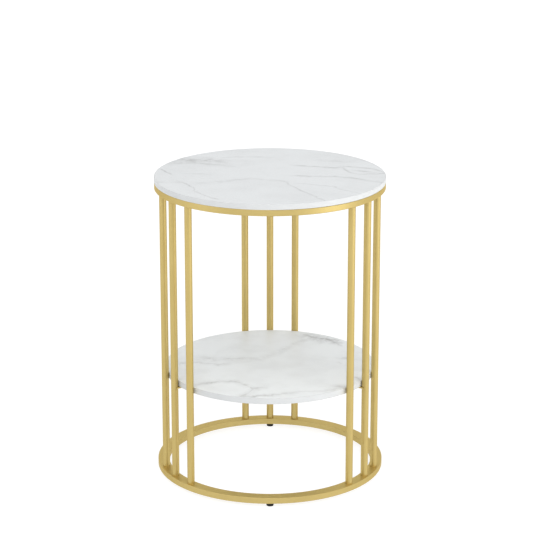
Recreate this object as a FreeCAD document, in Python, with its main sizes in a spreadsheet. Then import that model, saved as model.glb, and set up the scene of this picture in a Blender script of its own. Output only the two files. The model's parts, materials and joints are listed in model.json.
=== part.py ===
"""Round two-tier side table: nine tube legs between two rings, a top board and a shelf.

Millimetres, +Z up, with the origin on the floor under the middle of the table.
Front is towards -Y, left is towards -X.
"""
import FreeCAD, Part
import os
import Sketcher

UP = FreeCAD.Vector(0, 0, 1)

# Driving sizes: name, value in millimetres or degrees, meaning
SIZES = (
    ("overall_diameter", 450, "across the top and both rings"),
    ("overall_height", 601, "floor to the upper face of the top"),
    ("ring_width", 22, "ring tube, radially"),
    ("ring_height", 12, "ring tube, upright"),
    ("ring_wall", 1.5, "ring tube wall"),
    ("ring_corner_radius", 0.8, "outer corners of the ring tube"),
    ("leg_diameter", 14, "leg tube outside"),
    ("leg_wall", 1.2, "leg tube wall"),
    ("leg_spread_angle", 14, "degrees between neighbours in a group of legs"),
    ("top_thickness", 11, "top board"),
    ("shelf_thickness", 12, "shelf board"),
    ("shelf_top_height", 215.5, "floor to the upper face of the shelf"),
    ("shelf_leg_gap", 0.15, "shelf edge to the nearest side of a leg"),
    ("edge_band_thickness", 1, "strip glued round a board"),
    ("edge_glue_line", 0.15, "glue between a board and that strip"),
    ("edge_easing_radius", 0.7, "rounded corners of that strip"),
    ("seat_clearance", 0.05, "between fixed pieces that are screwed, welded or pressed"),
    ("bolt_diameter", 6, "thread of the leg bolts and the foot studs"),
    ("thread_clearance", 0.05, "thread play on the radius"),
    ("bolt_hole_clearance", 0.4, "bolt to its plain hole, on the radius"),
    ("bolt_head_diameter", 10.5, "leg bolt head"),
    ("bolt_head_height", 3.3, "leg bolt head"),
    ("bolt_head_rounding", 1.6, "domed rim of the leg bolt head"),
    ("bolt_key_width", 4, "hexagon socket, across flats"),
    ("bolt_key_depth", 2, "hexagon socket"),
    ("access_clearance", 0.6, "head to the hole it passes through, on the radius"),
    ("plug_length", 16, "threaded plug in a leg end"),
    ("bolt_end_gap", 3.5, "bolt end to the inner end of the plug"),
    ("tab_length", 30, "shelf tab, from the leg axis inwards"),
    ("tab_width", 17, "shelf tab"),
    ("tab_thickness", 2.5, "shelf tab"),
    ("tab_corner_radius", 5, "inner corners of the shelf tab"),
    ("tab_hole_inset", 20, "leg axis to the screw in the shelf tab"),
    ("screw_diameter", 4, "board screws"),
    ("screw_head_diameter", 8, "board screw head"),
    ("screw_head_height", 2.4, "board screw head"),
    ("screw_head_rounding", 1.2, "domed rim of the board screw head"),
    ("screw_tip_length", 2.5, "pointed end of a board screw"),
    ("screw_cover", 2.5, "board left over a screw point"),
    ("screw_hole_clearance", 0.3, "board screw to its hole in metal, on the radius"),
    ("screw_slot_length", 4.6, "arm to arm of the cross recess"),
    ("screw_slot_width", 0.9, "arm of the cross recess"),
    ("screw_slot_depth", 1.3, "cross recess"),
    ("foot_height", 7, "floor to the underside of the lower ring"),
    ("foot_diameter", 14, "foot pad"),
    ("foot_rounding", 0.5, "lower rim of the foot pad"),
    ("foot_floor", 1.6, "foot pad under the head of its stud"),
    ("foot_dish_depth", 1, "recess in the upper face of the foot pad"),
    ("foot_key_hole", 5, "hole in the pad under the stud's socket"),
    ("foot_key_width", 3, "hexagon socket in the stud's head, across flats"),
    ("foot_key_depth", 1.2, "hexagon socket in the stud's head"),
    ("stud_head_diameter", 9, "round head of the foot stud, held in the pad"),
    ("stud_head_height", 1.7, "round head of the foot stud"),
    ("stud_head_play", 0.05, "running clearance of the stud's head in the pad"),
    ("stud_end_gap", 4, "long stud end to the inner end of the plug"),
    ("stud_headroom", 2, "short stud end to the upper wall of the ring"),
    ("rivet_headroom", 2.5, "rivet nut end to the upper wall of the ring"),
    ("rivet_diameter", 8.9, "rivet nut barrel"),
    ("rivet_flange_diameter", 10, "rivet nut flange"),
    ("rivet_flange_height", 0.6, "rivet nut flange"),
    ("rivet_bulge_diameter", 12, "rivet nut where it is set inside the ring"),
    ("rivet_bulge_height", 2.5, "rivet nut where it is set inside the ring"),
)

# Places that follow from the driving sizes
LEG_CIRCLE = "((Sizes.overall_diameter - Sizes.ring_width) / 2)"
LEG_RADIUS = "(Sizes.leg_diameter / 2)"
LOWER_RING_Z = "Sizes.foot_height"
LEG_Z = "(Sizes.foot_height + Sizes.ring_height)"
TOP_Z = "(Sizes.overall_height - Sizes.top_thickness)"
TOP_RING_Z = f"({TOP_Z} - Sizes.ring_height)"
SHELF_Z = "(Sizes.shelf_top_height - Sizes.shelf_thickness)"
TAB_Z = f"({SHELF_Z} - Sizes.tab_thickness)"
LOWER_BOLT_Z = f"({LEG_Z} - Sizes.ring_wall)"
TOP_BOLT_Z = f"({TOP_RING_Z} + Sizes.ring_wall)"
TOP_RADIUS = "(Sizes.overall_diameter / 2)"
SHELF_RADIUS = f"({LEG_CIRCLE} - {LEG_RADIUS} - Sizes.shelf_leg_gap)"
TAB_HOLE_CIRCLE = f"({LEG_CIRCLE} - Sizes.tab_hole_inset)"

# Holes and threads shared by the pieces that meet
THREAD_BORE = "(Sizes.bolt_diameter / 2)"
THREAD_SHANK = "(Sizes.bolt_diameter / 2 - Sizes.thread_clearance)"
BOLT_HOLE = "(Sizes.bolt_diameter / 2 + Sizes.bolt_hole_clearance)"
BOLT_ACCESS = "(Sizes.bolt_head_diameter / 2 + Sizes.access_clearance)"
SCREW_SHANK = "(Sizes.screw_diameter / 2)"
SCREW_PILOT = f"({SCREW_SHANK} + Sizes.seat_clearance)"
SCREW_HOLE = f"({SCREW_SHANK} + Sizes.screw_hole_clearance)"
SCREW_ACCESS = "(Sizes.screw_head_diameter / 2 + Sizes.access_clearance)"
RIVET_HOLE = "(Sizes.rivet_diameter / 2 + Sizes.seat_clearance)"

FULL_TURN = 360
HALF_TURN = FULL_TURN // 2
QUARTER_TURN = FULL_TURN // 4

# Three groups of legs, evenly round the table from the rear, and the names of their three legs
LEG_GROUPS = {
    "rear": ("right", "middle", "left"),
    "left": ("rear", "middle", "front"),
    "right": ("front", "middle", "rear"),
}
LEGS_PER_GROUP = 3
GROUP_STEP = FULL_TURN // len(LEG_GROUPS)
GROUP_BEARINGS = {group: QUARTER_TURN + GROUP_STEP * place for place, group in enumerate(LEG_GROUPS)}
FIRST_LEG = f"{GROUP_BEARINGS['rear']} - Sizes.leg_spread_angle"

# Feet a quarter turn apart: the rear one is screwed into a leg, the others into rivet nuts
FEET = ("right", "rear", "left", "front")
FOOT_BEARINGS = {foot: QUARTER_TURN * place for place, foot in enumerate(FEET)}
RIVETED_FEET = ("left", "front", "right")

TOP_SCREWS = 6
HEXAGON_SIDES = 6

doc = FreeCAD.newDocument("TieredSideTable")
sheet = doc.addObject("Spreadsheet::Sheet", "Sizes")
for row, (alias, number, meaning) in enumerate(SIZES, start=1):
    sheet.set(f"A{row}", meaning)
    sheet.set(f"B{row}", str(number))
    sheet.setAlias(f"B{row}", alias)
doc.recompute()

pieces = []


def value(expression):
    """The number that an expression of sheet sizes gives."""
    return float(sheet.evalExpression(expression))


def polar(radius, bearing):
    """Expressions for the X and Y of a point on a circle round the table's axis."""
    return f"{radius} * cos({bearing})", f"{radius} * sin({bearing})"


def new_piece(label, x="0", y="0", z="0", turn="0"):
    """A body with its own label, placed by expressions; turn is about +Z, in degrees."""
    body = doc.addObject("PartDesign::Body", label)
    body.Label = label
    body.Placement = FreeCAD.Placement(FreeCAD.Vector(), FreeCAD.Rotation(UP, 0))
    for path, expression in (("Base.x", x), ("Base.y", y), ("Base.z", z), ("Rotation.Angle", turn)):
        body.setExpression(f"Placement.{path}", expression)
    pieces.append(body)
    return body


def origin_feature(body, role):
    return next(feature for feature in body.Origin.OriginFeatures if feature.Role == role)


def new_sketch(body, name, plane, x="0", y="0", z="0"):
    """A sketch on one of the body's origin planes, moved by x and y in the plane and z off it."""
    sketch = body.newObject("Sketcher::SketchObject", name)
    sketch.AttachmentSupport = (origin_feature(body, plane), [""])
    sketch.MapMode = "FlatFace"
    for axis, expression in (("x", x), ("y", y), ("z", z)):
        sketch.setExpression(f"AttachmentOffset.Base.{axis}", expression)
    return sketch


def bind_constraint(sketch, constraint, expression):
    index = sketch.addConstraint(constraint)
    sketch.setExpression(f"Constraints[{index}]", expression)


def fix_point(sketch, geometry, vertex, x, y):
    """Hold a sketch point at x, y from the sketch's origin."""
    for kind, axis, expression in (("DistanceX", -2, x), ("DistanceY", -1, y)):
        if expression == "0":
            sketch.addConstraint(Sketcher.Constraint("PointOnObject", geometry, vertex, axis))
        else:
            distance = Sketcher.Constraint(kind, -1, 1, geometry, vertex, value(expression))
            bind_constraint(sketch, distance, expression)


def add_circle(sketch, radius, x="0", y="0"):
    centre = FreeCAD.Vector(value(x), value(y), 0)
    circle = sketch.addGeometry(Part.Circle(centre, UP, value(radius)))
    fix_point(sketch, circle, 3, x, y)
    bind_constraint(sketch, Sketcher.Constraint("Radius", circle, value(radius)), radius)


def add_outline(sketch, points):
    """A closed outline of straight lines through points, each a pair of expressions."""
    corners = [FreeCAD.Vector(value(x), value(y), 0) for x, y in points]
    ends = corners[1:] + corners[:1]
    lines = [sketch.addGeometry(Part.LineSegment(*pair)) for pair in zip(corners, ends)]
    for line, following in zip(lines, lines[1:] + lines[:1]):
        sketch.addConstraint(Sketcher.Constraint("Coincident", line, 2, following, 1))
    for line, (x, y) in zip(lines, points):
        fix_point(sketch, line, 1, x, y)


def pad(body, sketch, length):
    feature = body.newObject("PartDesign::Pad", f"{sketch.Name}_pad")
    feature.Profile = sketch
    feature.setExpression("Length", length)
    return feature


def revolve(body, sketch):
    """Turn a profile once round the sketch's upright axis."""
    feature = body.newObject("PartDesign::Revolution", f"{sketch.Name}_turned")
    feature.Profile = sketch
    feature.ReferenceAxis = (sketch, ["V_Axis"])
    feature.Angle = FULL_TURN
    return feature


def pocket(body, sketch, depth, upwards=False):
    """Cut a sketch's outlines out of the body, downwards from the sketch unless told otherwise."""
    doc.recompute()
    before = body.Shape.Volume
    feature = body.newObject("PartDesign::Pocket", f"{sketch.Name}_cut")
    feature.Profile = sketch
    feature.Reversed = upwards
    feature.setExpression("Length", depth)
    doc.recompute()
    if not body.Shape.Volume < before:
        raise ValueError(f"{feature.Name} cuts nothing")
    return feature


def round_edges(body, feature, radius, wanted):
    """Fillet those circular edges of a feature whose radius and height fit a listed pair."""
    doc.recompute()
    targets = [(value(edge_radius), value(height)) for edge_radius, height in wanted]
    names = []
    for number, edge in enumerate(feature.Shape.Edges, start=1):
        if isinstance(edge.Curve, Part.Circle):
            found = (edge.Curve.Radius, edge.Curve.Center.z)
            if any(is_near(found, target) for target in targets):
                names.append(f"Edge{number}")
    fillet = body.newObject("PartDesign::Fillet", f"{feature.Name}_rounded")
    fillet.Base = (feature, names)
    fillet.setExpression("Radius", radius)


def is_near(found, target):
    return all(abs(one - other) < Part.Precision.confusion() for one, other in zip(found, target))


def polar_pattern(body, name, originals, count, angle=str(FULL_TURN)):
    pattern = body.newObject("PartDesign::PolarPattern", name)
    pattern.Originals = originals
    pattern.Axis = (origin_feature(body, "Z_Axis"), [""])
    pattern.Occurrences = count
    pattern.setExpression("Angle", angle)
    return pattern


def repeat_piece(body, count, angle=str(FULL_TURN)):
    """Repeat a whole piece round the table's axis, as a group of separate solids."""
    body.AllowCompound = True
    pattern = polar_pattern(body, f"{body.Name}_round", [], count, angle)
    pattern.TransformMode = "Whole shape"
    body.Tip = pattern


def repeat_at_legs(body, per_group):
    """Repeat a whole piece over the legs of a group, from its first leg, and over the groups."""
    body.AllowCompound = True
    multi = body.newObject("PartDesign::MultiTransform", f"{body.Name}_at_legs")
    multi.TransformMode = "Whole shape"
    spread = polar_pattern(body, f"{body.Name}_spread", [], per_group, "2 * Sizes.leg_spread_angle")
    groups = polar_pattern(body, f"{body.Name}_groups", [], len(LEG_GROUPS))
    multi.Transformations = [spread, groups]
    body.Tip = multi


def add_hexagon(sketch, width):
    """A regular hexagon round the sketch's origin, by its width across flats."""
    corner = f"{width} / sqrt(3)"
    step = FULL_TURN // HEXAGON_SIDES
    add_outline(sketch, [polar(corner, step // 2 + step * side) for side in range(HEXAGON_SIDES)])


def make_board(label, z, radius, thickness, screw_circle, screws, first_bearing):
    """A round board with blind screw holes in its underside."""
    board = new_piece(label, z=z, turn=str(first_bearing))
    disc = new_sketch(board, f"{label}_disc", "XY_Plane")
    add_circle(disc, f"{radius} - Sizes.edge_band_thickness")
    pad(board, disc, thickness)
    pilot = new_sketch(board, f"{label}_pilot", "XY_Plane", x=screw_circle)
    add_circle(pilot, SCREW_PILOT)
    hole = pocket(board, pilot, f"{thickness} - Sizes.screw_cover + Sizes.seat_clearance", upwards=True)
    board.Tip = polar_pattern(board, f"{label}_holes", [hole], screws)


def make_edge_band(label, z, radius, thickness):
    """The strip round a board's edge, with eased corners."""
    band = new_piece(label, z=z)
    strip = new_sketch(band, f"{label}_strip", "XY_Plane")
    add_circle(strip, radius)
    add_circle(strip, f"{radius} - Sizes.edge_band_thickness + Sizes.edge_glue_line")
    body = pad(band, strip, thickness)
    round_edges(band, body, "Sizes.edge_easing_radius", [(radius, "0"), (radius, thickness)])


def ring_tube(label, z):
    """A ring rolled from rectangular tube, hollow, with rounded outer corners."""
    ring = new_piece(label, z=z)
    inner = f"{TOP_RADIUS} - Sizes.ring_width"
    section = new_sketch(ring, f"{label}_section", "XZ_Plane")
    for inset in ("0", "Sizes.ring_wall"):
        low = inset
        high = f"Sizes.ring_height - {inset}"
        near = f"{inner} + {inset}"
        far = f"{TOP_RADIUS} - {inset}"
        add_outline(section, [(near, low), (far, low), (far, high), (near, high)])
    tube = revolve(ring, section)
    corners = [(radius, height) for radius in (inner, TOP_RADIUS) for height in ("0", "Sizes.ring_height")]
    round_edges(ring, tube, "Sizes.ring_corner_radius", corners)
    return ring


def drill_wall(ring, name, upper_wall, radius, bearings, repeats=1):
    """Round holes on the leg circle through the upper or the lower wall of a ring."""
    height = "Sizes.ring_height" if upper_wall else "0"
    sketch = new_sketch(ring, f"{ring.Name}_{name}", "XY_Plane", z=height)
    for bearing in bearings:
        add_circle(sketch, radius, *polar(LEG_CIRCLE, bearing))
    holes = pocket(ring, sketch, "Sizes.ring_height / 2", upwards=not upper_wall)
    if repeats > 1:
        ring.Tip = polar_pattern(ring, f"{sketch.Name}_round", [holes], repeats)


def leg_bearings(group):
    """Expressions for the bearings of the three legs of a group."""
    middle = GROUP_BEARINGS[group]
    return [f"({middle} + {step} * Sizes.leg_spread_angle)" for step in (-1, 0, 1)]


def make_lower_ring():
    """Leg bolts pass the upper wall; their heads go in through the lower wall."""
    ring = ring_tube("lower_ring", LOWER_RING_Z)
    groups = len(LEG_GROUPS)
    drill_wall(ring, "bolt_holes", True, BOLT_HOLE, leg_bearings("rear"), groups)
    drill_wall(ring, "access_holes", False, BOLT_ACCESS, leg_bearings("rear"), groups)
    drill_wall(ring, "rivet_holes", False, RIVET_HOLE, [FOOT_BEARINGS[foot] for foot in RIVETED_FEET])


def make_top_ring():
    """Leg bolts pass the lower wall; board screws pass the upper wall between the groups of legs."""
    ring = ring_tube("top_ring", TOP_RING_Z)
    groups = len(LEG_GROUPS)
    drill_wall(ring, "bolt_holes", False, BOLT_HOLE, leg_bearings("rear"), groups)
    drill_wall(ring, "access_holes", True, BOLT_ACCESS, leg_bearings("rear"), groups)
    drill_wall(ring, "screw_holes", True, SCREW_HOLE, [0], TOP_SCREWS)
    drill_wall(ring, "screw_access_holes", False, SCREW_ACCESS, [0], TOP_SCREWS)


def make_legs():
    for group, names in LEG_GROUPS.items():
        for bearing, name in zip(leg_bearings(group), names):
            label = f"{group}_leg_{name}"
            x, y = polar(LEG_CIRCLE, bearing)
            leg = new_piece(label, x, y, LEG_Z)
            section = new_sketch(leg, f"{label}_section", "XY_Plane")
            add_circle(section, LEG_RADIUS)
            add_circle(section, f"{LEG_RADIUS} - Sizes.leg_wall")
            pad(leg, section, f"{TOP_RING_Z} - {LEG_Z}")


def make_leg_plugs(label, z):
    """Threaded plugs in one end of all the legs."""
    plugs = new_piece(label, z=z, turn=FIRST_LEG)
    section = new_sketch(plugs, f"{label}_section", "XY_Plane", x=LEG_CIRCLE)
    add_circle(section, f"{LEG_RADIUS} - Sizes.leg_wall - Sizes.seat_clearance")
    add_circle(section, THREAD_BORE)
    pad(plugs, section, "Sizes.plug_length")
    repeat_at_legs(plugs, LEGS_PER_GROUP)


def make_leg_bolts(label, z, sign, first_bearing, repeat, *repeats):
    """Dome-headed bolts with a hexagon socket; sign is the way that the shank points along Z."""
    bolts = new_piece(label, z=z, turn=first_bearing)
    profile = new_sketch(bolts, f"{label}_profile", "XZ_Plane", x=LEG_CIRCLE)
    end = f"{sign}(Sizes.ring_wall + Sizes.plug_length - Sizes.bolt_end_gap)"
    head = f"-{sign}Sizes.bolt_head_height"
    rim = "Sizes.bolt_head_diameter / 2"
    shank_half = [("0", end), (THREAD_SHANK, end), (THREAD_SHANK, "0")]
    head_half = [(rim, "0"), (rim, head), ("0", head)]
    add_outline(profile, shank_half + head_half)
    turned = revolve(bolts, profile)
    round_edges(bolts, turned, "Sizes.bolt_head_rounding", [(rim, head)])
    socket = new_sketch(bolts, f"{label}_socket", "XY_Plane", x=LEG_CIRCLE, z=head)
    add_hexagon(socket, "Sizes.bolt_key_width")
    pocket(bolts, socket, "Sizes.bolt_key_depth", upwards=sign == "+")
    repeat(bolts, *repeats)


def make_shelf_tabs():
    """Flat tabs welded to the middle legs, hollowed at one end to fit the tube."""
    for group, bearing in GROUP_BEARINGS.items():
        label = f"{group}_shelf_tab"
        x, y = polar(LEG_CIRCLE, bearing)
        tab = new_piece(label, x, y, TAB_Z, f"{bearing} + {HALF_TURN}")
        side = "Sizes.tab_width / 2"
        far = "Sizes.tab_length"
        plate = new_sketch(tab, f"{label}_plate", "XY_Plane")
        add_outline(plate, [("0", f"-{side}"), (far, f"-{side}"), (far, side), ("0", side)])
        blank = pad(tab, plate, "Sizes.tab_thickness")
        round_tab_corners(tab, blank)
        holes = new_sketch(tab, f"{label}_holes", "XY_Plane")
        add_circle(holes, f"{LEG_RADIUS} + Sizes.seat_clearance")
        add_circle(holes, SCREW_HOLE, "Sizes.tab_hole_inset")
        pocket(tab, holes, "Sizes.tab_thickness", upwards=True)


def round_tab_corners(tab, blank):
    """Round the two upright edges at the free end of a tab."""
    doc.recompute()
    far = value("Sizes.tab_length")
    names = []
    for number, edge in enumerate(blank.Shape.Edges, start=1):
        ends = [vertex.Point for vertex in edge.Vertexes]
        upright = abs(ends[0].z - ends[1].z) > Part.Precision.confusion()
        if upright and is_near((ends[0].x,), (far,)):
            names.append(f"Edge{number}")
    fillet = tab.newObject("PartDesign::Fillet", f"{blank.Name}_rounded")
    fillet.Base = (blank, names)
    fillet.setExpression("Radius", "Sizes.tab_corner_radius")


def make_board_screws(label, z, metal, board, circle, count, first_bearing):
    """Screws that point up through metal into a board; z is the metal's underside."""
    screws = new_piece(label, z=z, turn=str(first_bearing))
    profile = new_sketch(screws, f"{label}_profile", "XZ_Plane", x=circle)
    head = "-Sizes.screw_head_height"
    rim = "Sizes.screw_head_diameter / 2"
    point = f"{metal} + {board} - Sizes.screw_cover"
    shoulder = f"{point} - Sizes.screw_tip_length"
    head_half = [("0", head), (rim, head), (rim, "0")]
    shank_half = [(SCREW_SHANK, "0"), (SCREW_SHANK, shoulder), ("0", point)]
    add_outline(profile, head_half + shank_half)
    turned = revolve(screws, profile)
    round_edges(screws, turned, "Sizes.screw_head_rounding", [(rim, head)])
    recess = new_sketch(screws, f"{label}_recess", "XY_Plane", x=circle, z=head)
    add_cross(recess, "Sizes.screw_slot_length / 2", "Sizes.screw_slot_width / 2")
    pocket(screws, recess, "Sizes.screw_slot_depth", upwards=True)
    repeat_piece(screws, count)


def add_cross(sketch, arm, half):
    """A plus-shaped outline round the sketch's origin."""
    quarter = [(arm, f"-{half}"), (arm, half), (half, half)]
    points = []
    for _ in range(FULL_TURN // QUARTER_TURN):
        points += quarter
        quarter = [(f"-({y})", x) for x, y in quarter]
    add_outline(sketch, points)


def make_rivet_nuts():
    """Blind rivet nuts in the lower wall of the lower ring, under the feet that have no leg above."""
    label = "foot_rivet_nuts"
    nuts = new_piece(label, z=LOWER_RING_Z, turn=str(FOOT_BEARINGS[RIVETED_FEET[0]]))
    profile = new_sketch(nuts, f"{label}_profile", "XZ_Plane", x=LEG_CIRCLE)
    flange = "Sizes.rivet_flange_diameter / 2"
    barrel = "Sizes.rivet_diameter / 2"
    bulge = "Sizes.rivet_bulge_diameter / 2"
    low = "-Sizes.rivet_flange_height"
    wall = "Sizes.ring_wall"
    collar = "Sizes.ring_wall + Sizes.rivet_bulge_height"
    end = "Sizes.ring_height - Sizes.ring_wall - Sizes.rivet_headroom"
    outside = [(flange, low), (flange, "0"), (barrel, "0"), (barrel, wall), (bulge, wall), (bulge, collar)]
    inside = [(barrel, collar), (barrel, end), (THREAD_BORE, end), (THREAD_BORE, low)]
    add_outline(profile, outside + inside)
    revolve(nuts, profile)
    repeat_piece(nuts, len(RIVETED_FEET), f"{len(RIVETED_FEET) - 1} * {QUARTER_TURN}")


def make_foot_pads():
    """Round pads that hold the heads of their studs, dished above and open below for a key."""
    rim = "Sizes.foot_diameter / 2"
    floor = "Sizes.foot_floor"
    top = "Sizes.foot_height"
    dish = "Sizes.rivet_flange_diameter / 2 + Sizes.bolt_hole_clearance"
    dish_floor = "Sizes.foot_height - Sizes.foot_dish_depth"
    pocket_top = f"{floor} + Sizes.stud_head_height + Sizes.stud_head_play"
    cavity = "Sizes.stud_head_diameter / 2 + Sizes.stud_head_play"
    key = "Sizes.foot_key_hole / 2"
    outside = [(key, "0"), (rim, "0"), (rim, top), (dish, top), (dish, dish_floor)]
    neck = [(BOLT_HOLE, dish_floor), (BOLT_HOLE, pocket_top)]
    inside = [(cavity, pocket_top), (cavity, floor), (key, floor)]
    for foot, bearing in FOOT_BEARINGS.items():
        label = f"{foot}_foot_pad"
        part = new_piece(label, *polar(LEG_CIRCLE, bearing))
        profile = new_sketch(part, f"{label}_profile", "XZ_Plane")
        add_outline(profile, outside + neck + inside)
        turned = revolve(part, profile)
        round_edges(part, turned, "Sizes.foot_rounding", [(rim, "0")])


def make_foot_studs():
    """Threaded studs; the rear one is long and runs through the ring into the rear middle leg."""
    short = "Sizes.ring_height - Sizes.ring_wall - Sizes.stud_headroom"
    long = "Sizes.ring_height + Sizes.plug_length - Sizes.stud_end_gap"
    rim = "Sizes.stud_head_diameter / 2"
    shoulder = "Sizes.stud_head_height"
    head_half = [("0", "0"), (rim, "0"), (rim, shoulder)]
    for foot, bearing in FOOT_BEARINGS.items():
        label = f"{foot}_foot_stud"
        stud = new_piece(label, *polar(LEG_CIRCLE, bearing), "Sizes.foot_floor")
        reach = short if foot in RIVETED_FEET else long
        end = f"Sizes.foot_height - Sizes.foot_floor + {reach}"
        profile = new_sketch(stud, f"{label}_profile", "XZ_Plane")
        shank_half = [(THREAD_SHANK, shoulder), (THREAD_SHANK, end), ("0", end)]
        add_outline(profile, head_half + shank_half)
        revolve(stud, profile)
        socket = new_sketch(stud, f"{label}_socket", "XY_Plane")
        add_hexagon(socket, "Sizes.foot_key_width")
        pocket(stud, socket, "Sizes.foot_key_depth", upwards=True)


def check_document():
    """Stop if anything in the document failed or a piece is not a sound solid."""
    failed = [item.Name for item in doc.Objects if {"Invalid", "Error"} & set(item.State)]
    unsound = [piece.Label for piece in pieces if piece.Shape.isNull() or not piece.Shape.isValid()]
    if failed or unsound:
        raise ValueError(f"failed: {failed}, unsound: {unsound}")


make_board("top_board", TOP_Z, TOP_RADIUS, "Sizes.top_thickness", LEG_CIRCLE, TOP_SCREWS, 0)
make_edge_band("top_edge_band", TOP_Z, TOP_RADIUS, "Sizes.top_thickness")
make_top_ring()
make_board("shelf_board", SHELF_Z, SHELF_RADIUS, "Sizes.shelf_thickness", TAB_HOLE_CIRCLE,
           len(LEG_GROUPS), GROUP_BEARINGS["rear"])
make_edge_band("shelf_edge_band", SHELF_Z, SHELF_RADIUS, "Sizes.shelf_thickness")
make_lower_ring()
make_legs()
make_leg_plugs("leg_plugs_top", f"{TOP_RING_Z} - Sizes.plug_length")
make_leg_plugs("leg_plugs_bottom", LEG_Z)
make_leg_bolts("leg_bolts_top", TOP_BOLT_Z, "-", FIRST_LEG, repeat_at_legs, LEGS_PER_GROUP)
make_leg_bolts("outer_leg_bolts_bottom", LOWER_BOLT_Z, "+", FIRST_LEG, repeat_at_legs, LEGS_PER_GROUP - 1)
make_leg_bolts("middle_leg_bolts_bottom", LOWER_BOLT_Z, "+", str(GROUP_BEARINGS["left"]), repeat_piece,
               len(LEG_GROUPS) - 1, str(GROUP_STEP))
make_shelf_tabs()
make_board_screws("shelf_screws", TAB_Z, "Sizes.tab_thickness", "Sizes.shelf_thickness", TAB_HOLE_CIRCLE,
                  len(LEG_GROUPS), GROUP_BEARINGS["rear"])
make_board_screws("top_screws", f"{TOP_Z} - Sizes.ring_wall", "Sizes.ring_wall", "Sizes.top_thickness",
                  LEG_CIRCLE, TOP_SCREWS, 0)
make_rivet_nuts()
make_foot_pads()
make_foot_studs()

doc.recompute()
check_document()
os.makedirs("parts", exist_ok=True)
for piece in pieces:
    piece.Shape.exportStep(f"parts/{piece.Label}.step")
    print(piece.Label, len(piece.Shape.Solids), "solids", round(piece.Shape.Volume, 1), "mm3")
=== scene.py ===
"""Looks of the round two-tier side table: stone-look boards on a satin gold frame.

Metres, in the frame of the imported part: +Z up, the origin on the floor, front towards -Y.
"""

import json
import math
from collections import Counter

import bpy
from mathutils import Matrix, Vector


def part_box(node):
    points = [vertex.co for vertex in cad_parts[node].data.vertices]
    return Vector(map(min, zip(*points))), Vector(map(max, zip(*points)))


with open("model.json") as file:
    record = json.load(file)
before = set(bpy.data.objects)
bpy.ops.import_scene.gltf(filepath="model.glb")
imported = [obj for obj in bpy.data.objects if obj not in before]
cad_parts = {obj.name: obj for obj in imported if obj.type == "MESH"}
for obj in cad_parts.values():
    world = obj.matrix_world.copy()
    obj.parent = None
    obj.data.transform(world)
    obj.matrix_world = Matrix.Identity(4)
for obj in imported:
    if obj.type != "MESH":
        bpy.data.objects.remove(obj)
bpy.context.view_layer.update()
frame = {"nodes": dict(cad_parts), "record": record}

# Camera: where the photograph was taken from, the tilt in degrees, the lens and the sensor in millimetres
CAMERA_PLACE = (0.0, -3.899, 1.575)
CAMERA_PITCH = 16.663
CAMERA_LENS = 138.0
SENSOR = 36.0

# Soft boxes: place, width and height, brightness, colour
TABLE_MIDDLE = Vector((0.0, 0.0, 0.3))
SOFT_BOXES = {
    "front_light": ((0.3, -7.2, 8.2), (14.0, 12.0), 0.90, (1.0, 1.0, 1.0)),
    "key_light": ((2.8, -1.5, 1.25), (2.0, 2.4), 2.75, (1.0, 0.99, 0.97)),
    "key_glint": ((2.8, -1.5, 0.29), (2.0, 0.58), 3.2, (1.0, 0.99, 0.97)),
    "fill_light": ((-2.8, -1.2, 1.2), (1.6, 2.2), 0.95, (0.97, 0.98, 1.0)),
}

# The key light would mirror as a white patch in the top, so it shows in no reflection; the glint, which is
# lower than the top and shows only in reflections, gives the legs their light streak
UNMIRRORED_LAMP = "key_light"
MIRRORED_LAMP = "key_glint"

# World: its strength where it is seen or mirrored, and as a light
WORLD_SEEN = 1.0
WORLD_DIFFUSE = 0.69

# Floor: the grey that bounces light, and where it is seen, the grey that takes shadows under a white glow,
# whose strength goes from one value to the other between two distances from the table
FLOOR_RADIUS = 14.0
FLOOR_SIDES = 96
FLOOR_PAINT = 0.75
FLOOR_SHADE = 0.25
FLOOR_GLOW = (0.85, 0.95)
FLOOR_GLOW_REACH = (0.8, 4.0)

# Ranges of a noise's value that stand for most of it and for its middle
NOISE_SPREAD = (0.3, 0.7)
NOISE_MIDDLE = (0.35, 0.65)

# Colours of the finishes, each pair mixed by a noise
EDGING_LIGHT = (0.702, 0.720, 0.726)
EDGING_DARK = (0.679, 0.696, 0.702)
GOLD_DARK = (0.544, 0.419, 0.157)
GOLD_LIGHT = (0.575, 0.448, 0.173)
GOLD_GLINT = (0.80, 0.66, 0.36, 1.0)
GOLD_DRIFT_SHARE = 0.7
ZINC_COOL = (0.55, 0.56, 0.59)
ZINC_WARM = (0.60, 0.58, 0.53)
NYLON_CLEAN = (0.006, 0.006, 0.0065)
NYLON_SCUFFED = (0.016, 0.016, 0.0165)
SCUFF_NOISE = (0.4, 0.75)

# How much closer the marks of a finish lie in height than across
EDGING_SQUEEZE = (1.0, 1.0, 4.0)
ZINC_SQUEEZE = (1.0, 1.0, 14.0)

# Stone laminate: how far a vein wanders from its strokes, how its band breaks up, how it fades along its way
# and where the clouds lie, with the noise ranges that stand for these
VEIN_AND_SHADOW_GREY = (0.44, 0.45, 0.455)
VEIN_WANDER = 0.014
FEATHER_NOISE = (0.35, 0.68)
FEATHER_DEPTH = (0.1, 1.8)
FADE_NOISE = (0.34, 0.62)
FADE_DEPTH = (0.5, 1.0)
CLOUD_NOISE = (0.45, 0.75)
STONE_ROUGHNESS_SPREAD = 0.08

# How far a vein takes to fade out at a free end, and the share of the radius past which it runs to the rim
VEIN_TAPER = 0.045
RIM_SHARE = 0.92

# A face whose normal rises more than this is an upper face
UPWARD = 0.5

# What drops the height of a vector, and the middle of a noise's colour
LEVEL = (1.0, 1.0, 0.0)
MID_COLOUR = (0.5, 0.5, 0.5)
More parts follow.
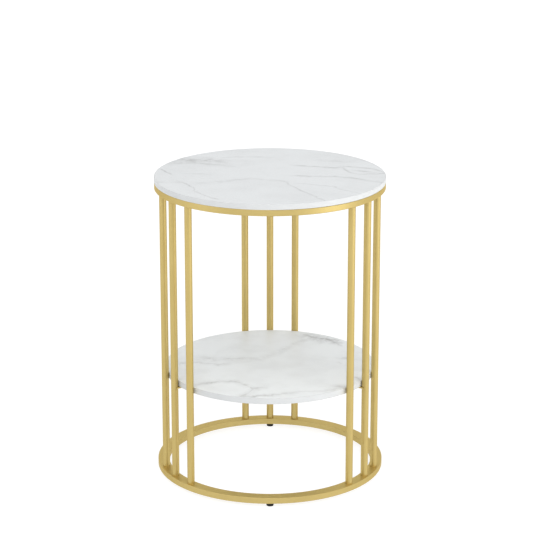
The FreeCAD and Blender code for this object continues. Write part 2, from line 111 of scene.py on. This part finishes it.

# Veins of the two boards, with one painted shadow among the top's, drawn like a vein: half width and depth
# of the line, then of the soft band round it, and the vein's points as shares of the board's radius
TOP_VEIN_AND_SHADOW_SHARES = (
    ((0.0030, 1.00), (0.010, 0.40), ((0.12, 0.36), (0.31, 0.31), (0.50, 0.26), (0.65, 0.23))),
    ((0.0025, 0.60), (0.006, 0.20), ((0.58, 0.27), (0.63, 0.31), (0.71, 0.30))),
    ((0.0024, 0.75), (0.008, 0.32), ((0.65, 0.23), (0.72, 0.05), (0.80, 0.02), (1.00, 0.05))),
    ((0.0026, 0.65), (0.009, 0.34), ((0.71, 0.30), (0.93, 0.19), (0.99, 0.10))),
    ((0.0024, 0.60), (0.008, 0.30), ((0.67, 0.18), (0.77, 0.14), (0.94, 0.08))),
    ((0.0024, 0.55), (0.012, 0.34), ((0.10, -0.02), (0.27, -0.04), (0.58, -0.07), (0.72, -0.12),
                                     (0.84, -0.22), (0.95, -0.27))),
    ((0.0020, 0.60), (0.006, 0.20), ((0.14, -0.29), (0.30, -0.32), (0.54, -0.42), (0.59, -0.50),
                                     (0.74, -0.62))),
    ((0.0010, 0.10), (0.022, 0.30), ((0.36, 0.52), (0.66, 0.49), (0.84, 0.53))),
    ((0.0014, 0.80), (0.006, 0.24), ((0.12, -0.24), (0.19, -0.39), (0.45, -0.89))),
    ((0.0010, 0.15), (0.014, 0.28), ((-0.73, -0.28), (-0.50, -0.29), (-0.18, -0.13), (0.12, -0.24))),
    ((0.0014, 0.90), (0.005, 0.22), ((-0.75, -0.26), (-0.65, -0.44), (-0.62, -0.58), (-0.51, -0.75),
                                     (-0.44, -0.84))),
    ((0.0015, 0.30), (0.010, 0.28), ((-0.98, -0.27), (-0.75, -0.26))),
    ((0.0024, 1.00), (0.006, 0.25), ((-0.95, 0.20), (-0.86, 0.04), (-0.82, -0.03))),
    # Painted shadow of a vase that is left out: a faint line in a soft grey band
    ((0.0010, 0.15), (0.012, 0.22), ((-0.80, 0.04), (-0.45, 0.01))),
    ((0.0025, 0.75), (0.009, 0.40), ((-0.83, 0.43), (-0.67, 0.43), (-0.30, 0.30))),
    ((0.0030, 0.42), (0.045, 0.60), ((-0.86, 0.47), (-0.80, 0.57), (-0.62, 0.54), (-0.52, 0.46),
                                     (-0.30, 0.42))),
    ((0.0020, 0.40), (0.006, 0.20), ((-0.62, 0.74), (-0.45, 0.80))),
    ((0.0012, 0.35), (0.012, 0.32), ((-0.52, 0.60), (-0.22, 0.67), (0.13, 0.62))),
)
SHELF_VEIN_SHARES = (
    ((0.0060, 0.30), (0.032, 0.64), ((0.40, 0.79), (0.50, 0.72), (0.57, 0.70), (0.63, 0.63))),
    ((0.0035, 0.30), (0.012, 0.30), ((0.63, 0.63), (0.67, 0.55), (0.74, 0.46))),
    ((0.0035, 0.16), (0.016, 0.24), ((0.40, 0.60), (0.54, 0.60), (0.63, 0.63))),
    ((0.0030, 0.26), (0.014, 0.26), ((-0.92, -0.04), (-0.72, 0.01), (-0.63, -0.02), (-0.49, -0.07),
                                     (-0.30, 0.02))),
    ((0.0035, 0.22), (0.014, 0.26), ((-0.64, 0.06), (-0.49, 0.10), (-0.30, 0.12))),
    ((0.0010, 0.05), (0.032, 0.24), ((-0.80, 0.14), (-0.62, 0.12), (-0.49, 0.08), (-0.20, 0.12))),
    ((0.0015, 0.10), (0.018, 0.24), ((-0.30, 0.12), (-0.10, 0.10), (0.12, 0.36), (0.40, 0.79))),
    ((0.0035, 0.26), (0.016, 0.36), ((-0.75, -0.66), (-0.64, -0.61), (-0.51, -0.57), (-0.48, -0.53),
                                     (-0.34, -0.54), (-0.25, -0.63), (-0.16, -0.75))),
    ((0.0035, 0.26), (0.018, 0.36), ((-0.31, -0.97), (-0.21, -0.86), (-0.16, -0.75), (-0.05, -0.71),
                                     (0.02, -0.75))),
    ((0.0032, 0.34), (0.013, 0.36), ((-0.31, -0.97), (-0.17, -0.96), (-0.11, -0.91), (0.02, -0.91),
                                     (0.14, -0.86))),
    ((0.0025, 0.18), (0.012, 0.24), ((0.14, -0.86), (0.31, -0.82), (0.51, -0.80), (0.62, -0.73))),
    ((0.0035, 0.30), (0.012, 0.30), ((0.55, -0.66), (0.63, -0.67), (0.71, -0.69))),
    ((0.0030, 0.28), (0.010, 0.25), ((0.74, -0.36), (0.81, -0.42), (0.86, -0.51))),
    ((0.0030, 0.25), (0.012, 0.24), ((0.55, 0.16), (0.69, 0.11), (0.74, 0.13), (0.90, 0.05))),
    ((0.0026, 0.32), (0.010, 0.24), ((0.62, 0.02), (0.66, -0.01), (0.71, -0.07))),
)

# The two boards: material, veins, ground colour, depth of the clouds, least roughness. They are one
# laminate, whose ground is painted lighter and a touch bluer on the shelf than on the top, to offset the
# shade that the top casts on the shelf and the warm reflection of the gold legs
BOARD_LOOKS = {
    "top_board": ("top_stone", TOP_VEIN_AND_SHADOW_SHARES, (0.714, 0.737, 0.750), 0.20, 0.26),
    "shelf_board": ("shelf_stone", SHELF_VEIN_SHARES, (0.850, 0.882, 0.902), 0.24, 0.40),
}


class Graph:
    """A shader's node tree, with short calls whose inputs are sockets or plain values."""

    def __init__(self, tree):
        self.nodes = tree.nodes
        self.links = tree.links
        self.nodes.clear()

    def node(self, kind, inputs=None, **settings):
        """A node with its settings and its inputs, by name or number."""
        made = self.nodes.new(f"ShaderNode{kind}")
        for key, setting in settings.items():
            setattr(made, key, setting)
        for key, source in (inputs or {}).items():
            self.put(source, made.inputs[key])
        return made

    def put(self, source, socket):
        if isinstance(source, bpy.types.NodeSocket):
            self.links.new(source, socket)
        else:
            socket.default_value = source

    def math(self, operation, first, second, clamp=False):
        return self.node("Math", {0: first, 1: second}, operation=operation, use_clamp=clamp).outputs[0]

    def vector(self, operation, first, second=(0.0, 0.0, 0.0)):
        made = self.node("VectorMath", {0: first, 1: second}, operation=operation)
        return made.outputs["Value" if operation in ("LENGTH", "DISTANCE", "DOT_PRODUCT") else "Vector"]

    def scaled(self, vector, factor):
        made = self.node("VectorMath", {"Vector": vector, "Scale": factor}, operation="SCALE")
        return made.outputs["Vector"]

    def place(self):
        return self.node("TexCoord").outputs["Object"]

    def noise_node(self, vector, scale, detail, roughness=0.5):
        return self.node("TexNoise", {"Vector": vector, "Scale": scale, "Detail": detail,
                                      "Roughness": roughness})

    def noise(self, vector, **pattern):
        """A noise's value; the pattern is its scale, detail and roughness."""
        return self.noise_node(vector, **pattern).outputs[0]

    def stray(self, vector, **pattern):
        """A noise's colour as a vector about zero."""
        return self.vector("SUBTRACT", self.noise_node(vector, **pattern).outputs["Color"], MID_COLOUR)

    def between(self, value, source, target=(0.0, 1.0), smooth=False):
        """Carry a value from one range to another, held at its ends."""
        made = self.node("MapRange", {"Value": value, "From Min": source[0], "From Max": source[1],
                                      "To Min": target[0], "To Max": target[1]},
                         interpolation_type="SMOOTHSTEP" if smooth else "LINEAR")
        return made.outputs["Result"]

    def blend(self, factor, first, second):
        """Mix two colours."""
        made = self.node("Mix", {"Factor": factor}, data_type="RGBA")
        inputs = {socket.identifier: socket for socket in made.inputs}
        inputs["A_Color"].default_value = (*first, 1.0)
        inputs["B_Color"].default_value = (*second, 1.0)
        return next(socket for socket in made.outputs if socket.identifier == "Result_Color")

    def bump(self, height, distance, strength):
        made = self.node("Bump", {"Height": height, "Distance": distance, "Strength": strength})
        return made.outputs["Normal"]

    def principled(self, **inputs):
        """A Principled shader; inputs are its sockets, with underscores for spaces."""
        named = {key.replace("_", " "): source for key, source in inputs.items()}
        return self.node("BsdfPrincipled", named).outputs["BSDF"]

    def output(self, kind, shader):
        self.node(f"Output{kind}", {"Surface": shader})


def material_graph(name):
    """A new material and the graph of its empty node tree."""
    material = bpy.data.materials.new(name)
    material.use_nodes = True
    return material, Graph(material.node_tree)


def grey(value):
    return (value, value, value, 1.0)


def stroke_group():
    """A node group for the distance from a point to a straight stroke."""
    tree = bpy.data.node_groups.new("distance_to_stroke", "ShaderNodeTree")
    for name in ("Point", "Start", "End"):
        tree.interface.new_socket(name, in_out="INPUT", socket_type="NodeSocketVector")
    tree.interface.new_socket("Distance", in_out="OUTPUT", socket_type="NodeSocketFloat")
    graph = Graph(tree)
    given = tree.nodes.new("NodeGroupInput").outputs
    offset = graph.vector("SUBTRACT", given["Point"], given["Start"])
    span = graph.vector("SUBTRACT", given["End"], given["Start"])
    reach = graph.vector("DOT_PRODUCT", offset, span)
    whole = graph.vector("DOT_PRODUCT", span, span)
    nearest = graph.scaled(span, graph.math("DIVIDE", reach, whole, clamp=True))
    result = tree.nodes.new("NodeGroupOutput")
    tree.links.new(graph.vector("DISTANCE", offset, nearest), result.inputs["Distance"])
    return tree


STROKE = stroke_group()


def stroke_distance(graph, point, ends):
    """How far a point is from the nearest of the strokes that join the ends."""
    nearest = None
    for start, end in zip(ends, ends[1:]):
        stroke = graph.node("Group", node_tree=STROKE)
        for key, source in (("Point", point), ("Start", start), ("End", end)):
            graph.put(source, stroke.inputs[key])
        distance = stroke.outputs["Distance"]
        nearest = distance if nearest is None else graph.math("MINIMUM", nearest, distance)
    return nearest


def vein_and_shadow_depth(graph, point, vein_and_shadow_shares, radius, feather):
    """How grey each point is from the veins, and from the painted shadow listed among them: a thin dark line
    in a wide, feathered band.

    A vein fades out towards an end that meets no other vein and isn't at the rim.
    """
    meetings = Counter(share for *_, shares in vein_and_shadow_shares for share in shares)
    deepest = 0.0
    for (line_width, line_depth), (band_width, band_depth), shares in vein_and_shadow_shares:
        ends = [(x * radius, y * radius, 0.0) for x, y in shares]
        nearest = stroke_distance(graph, point, ends)
        line = graph.between(nearest, (0.0, line_width), (line_depth, 0.0), smooth=True)
        band = graph.between(nearest, (0.0, band_width), (band_depth, 0.0), smooth=True)
        vein = graph.math("ADD", line, graph.math("MULTIPLY", band, feather))
        taper = min(VEIN_TAPER, math.dist(ends[0], ends[-1]) / 2)
        for share, end in ((shares[0], ends[0]), (shares[-1], ends[-1])):
            if meetings[share] == 1 and math.hypot(*share) < RIM_SHARE:
                reach = graph.vector("DISTANCE", point, end)
                vein = graph.math("MULTIPLY", vein, graph.between(reach, (0.0, taper), smooth=True))
        deepest = graph.math("MAXIMUM", deepest, vein)
    return deepest


def stone_laminate(board, name, vein_and_shadow_shares, ground_with_painted_light, cloud_depth, roughness):
    """White stone-look laminate: clouds and wandering grey veins above, among the top's veins a painted vase
    shadow, on a ground colour that carries painted light; plain backing paper below.
    """
    material, graph = material_graph(name)
    place = graph.place()
    stray = graph.vector("ADD", graph.stray(place, scale=14.0, detail=2.0),
                         graph.stray(place, scale=70.0, detail=5.0))
    wander = graph.vector("MULTIPLY", graph.scaled(stray, VEIN_WANDER), LEVEL)
    point = graph.vector("ADD", place, wander)
    flat_point = graph.vector("MULTIPLY", point, LEVEL)
    feather = graph.between(graph.noise(flat_point, scale=55.0, detail=5.0, roughness=0.65),
                            FEATHER_NOISE, FEATHER_DEPTH)
    # On the top, this grey also holds the painted shadow of a vase
    veins = vein_and_shadow_depth(graph, flat_point, vein_and_shadow_shares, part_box(board)[1].x, feather)
    fade = graph.between(graph.noise(place, scale=32.0, detail=2.0), FADE_NOISE, FADE_DEPTH)
    clouds = graph.between(graph.noise(point, scale=11.0, detail=5.0, roughness=0.6),
                           CLOUD_NOISE, (0.0, cloud_depth))
    depth = graph.math("ADD", graph.math("MULTIPLY", veins, fade), clouds, clamp=True)
    rise = graph.node("SeparateXYZ", {0: graph.node("NewGeometry").outputs["Normal"]}).outputs["Z"]
    depth = graph.math("MULTIPLY", depth, graph.math("GREATER_THAN", rise, UPWARD))
    grain = graph.noise(place, scale=1400.0, detail=2.0)
    # The ground colour carries painted light: lighter on the shelf than on the top, to offset the top's
    # shade
    shader = graph.principled(
        Base_Color=graph.blend(depth, ground_with_painted_light, VEIN_AND_SHADOW_GREY),
        Roughness=graph.between(grain, NOISE_SPREAD, (roughness, roughness + STONE_ROUGHNESS_SPREAD)),
        Normal=graph.bump(grain, distance=0.00002, strength=0.25))
    graph.output("Material", shader)
    return material


def white_edging():
    """Satin white edge strip with a faint pressed grain."""
    material, graph = material_graph("white_edging")
    place = graph.place()
    grain = graph.noise(graph.vector("MULTIPLY", place, EDGING_SQUEEZE), scale=900.0, detail=3.0)
    tone = graph.between(graph.noise(place, scale=40.0, detail=3.0), NOISE_SPREAD)
    shader = graph.principled(
        Base_Color=graph.blend(tone, EDGING_LIGHT, EDGING_DARK),
        Roughness=graph.between(grain, NOISE_SPREAD, (0.34, 0.44)),
        Normal=graph.bump(grain, distance=0.00003, strength=0.3))
    graph.output("Material", shader)
    return material


def gold_finish():
    """Satin gold lacquer on steel, with a slight orange peel and a slow drift in tone."""
    material, graph = material_graph("gold_finish")
    place = graph.place()
    peel = graph.noise(place, scale=650.0, detail=2.0)
    drift = graph.noise(place, scale=16.0, detail=3.0)
    fleck = graph.noise(place, scale=5200.0, detail=1.0)
    tone = graph.math("ADD", graph.math("MULTIPLY", drift, GOLD_DRIFT_SHARE),
                      graph.math("MULTIPLY", fleck, 1.0 - GOLD_DRIFT_SHARE))
    shader = graph.principled(
        Base_Color=graph.blend(graph.between(tone, NOISE_MIDDLE), GOLD_DARK, GOLD_LIGHT),
        Metallic=0.75,
        Specular_Tint=GOLD_GLINT,
        Specular_IOR_Level=0.25,
        Coat_Weight=0.1,
        Coat_Roughness=0.34,
        Roughness=graph.between(peel, NOISE_SPREAD, (0.36, 0.44)),
        Normal=graph.bump(peel, distance=0.00004, strength=0.22))
    graph.output("Material", shader)
    return material


def zinc_steel():
    """Bright zinc plate with fine turning marks and a faint tint."""
    material, graph = material_graph("zinc_steel")
    place = graph.place()
    marks = graph.noise(graph.vector("MULTIPLY", place, ZINC_SQUEEZE), scale=500.0, detail=3.0)
    tint = graph.between(graph.noise(place, scale=90.0, detail=2.0), NOISE_MIDDLE)
    shader = graph.principled(
        Base_Color=graph.blend(tint, ZINC_COOL, ZINC_WARM),
        Metallic=1.0,
        Roughness=graph.between(marks, NOISE_SPREAD, (0.24, 0.38)),
        Normal=graph.bump(marks, distance=0.00003, strength=0.35))
    graph.output("Material", shader)
    return material


def black_nylon():
    """Moulded black nylon with a fine spark-eroded skin."""
    material, graph = material_graph("black_nylon")
    place = graph.place()
    skin = graph.noise(place, scale=1600.0, detail=3.0)
    scuff = graph.between(graph.noise(place, scale=160.0, detail=3.0), SCUFF_NOISE)
    shader = graph.principled(
        Base_Color=graph.blend(scuff, NYLON_CLEAN, NYLON_SCUFFED),
        Specular_IOR_Level=0.25,
        Roughness=graph.between(skin, NOISE_SPREAD, (0.46, 0.62)),
        Normal=graph.bump(skin, distance=0.00005, strength=0.4))
    graph.output("Material", shader)
    return material


def dress_nodes():
    """Give every CAD node the material of its slot; each board has its own veins, and its own ground colour
    with painted light, lighter on the shelf to offset the shade of the top.
    """
    shared = {
        "gold_finish": gold_finish(),
        "white_edging": white_edging(),
        "zinc_steel": zinc_steel(),
        "black_nylon": black_nylon(),
    }
    own = {board: stone_laminate(board, *look) for board, look in BOARD_LOOKS.items()}
    for subpart in frame["record"]["subparts"]:
        name = subpart["node"]
        materials = frame["nodes"][name].data.materials
        materials.clear()
        materials.append(own.get(name) or shared[subpart["material_slot"]])


def seen_directly(graph):
    """A socket that is 1 for camera, glossy and transmission rays and 0 for the rest."""
    rays = graph.node("LightPath").outputs
    seen = graph.math("MAXIMUM", rays["Is Camera Ray"], rays["Is Glossy Ray"])
    return graph.math("MAXIMUM", seen, rays["Is Transmission Ray"])


def make_world():
    """White where it is seen or mirrored, and softer as a light."""
    world = bpy.data.worlds.new("studio")
    bpy.context.scene.world = world
    world.use_nodes = True
    graph = Graph(world.node_tree)
    seen, light = (graph.node("Background", {"Color": grey(1.0), "Strength": strength}).outputs[0]
                   for strength in (WORLD_SEEN, WORLD_DIFFUSE))
    mixed = graph.node("MixShader", {0: seen_directly(graph), 1: light, 2: seen}).outputs[0]
    graph.output("World", mixed)


def floor_material():
    """Pale floor that reads as white but keeps the table's shadow, and is clear from below."""
    material, graph = material_graph("pale_floor")
    paint = graph.node("BsdfDiffuse", {"Color": grey(FLOOR_PAINT)}).outputs[0]
    shade = graph.node("BsdfDiffuse", {"Color": grey(FLOOR_SHADE)}).outputs[0]
    strength = graph.between(graph.vector("LENGTH", graph.place()), FLOOR_GLOW_REACH, FLOOR_GLOW)
    glow = graph.node("Emission", {"Color": grey(1.0), "Strength": strength}).outputs[0]
    white = graph.node("AddShader", {0: shade, 1: glow}).outputs[0]
    above = graph.node("MixShader", {0: seen_directly(graph), 1: paint, 2: white}).outputs[0]
    clear = graph.node("BsdfTransparent").outputs[0]
    from_below = graph.node("NewGeometry").outputs["Backfacing"]
    both = graph.node("MixShader", {0: from_below, 1: above, 2: clear}).outputs[0]
    graph.output("Material", both)
    return material


def make_floor():
    """A wide round floor under the table, which is stage and not part of it."""
    bpy.ops.mesh.primitive_circle_add(vertices=FLOOR_SIDES, radius=FLOOR_RADIUS, fill_type="NGON")
    floor = bpy.context.object
    floor.name = "floor"
    floor.data.materials.append(floor_material())


def make_lights():
    """The soft boxes, each turned to the middle of the table and as bright as its surface is large."""
    for name, (place, (width, height), brightness, colour) in SOFT_BOXES.items():
        lamp = bpy.data.lights.new(name, "AREA")
        lamp.shape = "RECTANGLE"
        lamp.size = width
        lamp.size_y = height
        lamp.energy = brightness * math.pi * width * height
        lamp.color = colour
        made = bpy.data.objects.new(name, lamp)
        made.location = place
        made.rotation_euler = (TABLE_MIDDLE - made.location).to_track_quat("-Z", "Y").to_euler()
        made.visible_glossy = name != UNMIRRORED_LAMP
        made.visible_diffuse = name != MIRRORED_LAMP
        bpy.context.scene.collection.objects.link(made)


def make_camera():
    """The camera of the photograph, level from side to side."""
    camera = bpy.data.cameras.new("camera")
    camera.lens = CAMERA_LENS
    camera.sensor_width = SENSOR
    made = bpy.data.objects.new("camera", camera)
    made.location = CAMERA_PLACE
    made.rotation_euler = (math.pi / 2 - math.radians(CAMERA_PITCH), 0.0, 0.0)
    bpy.context.scene.collection.objects.link(made)
    bpy.context.scene.camera = made


dress_nodes()
make_world()
make_floor()
make_lights()
make_camera()
bpy.context.scene.view_settings.view_transform = "Standard"
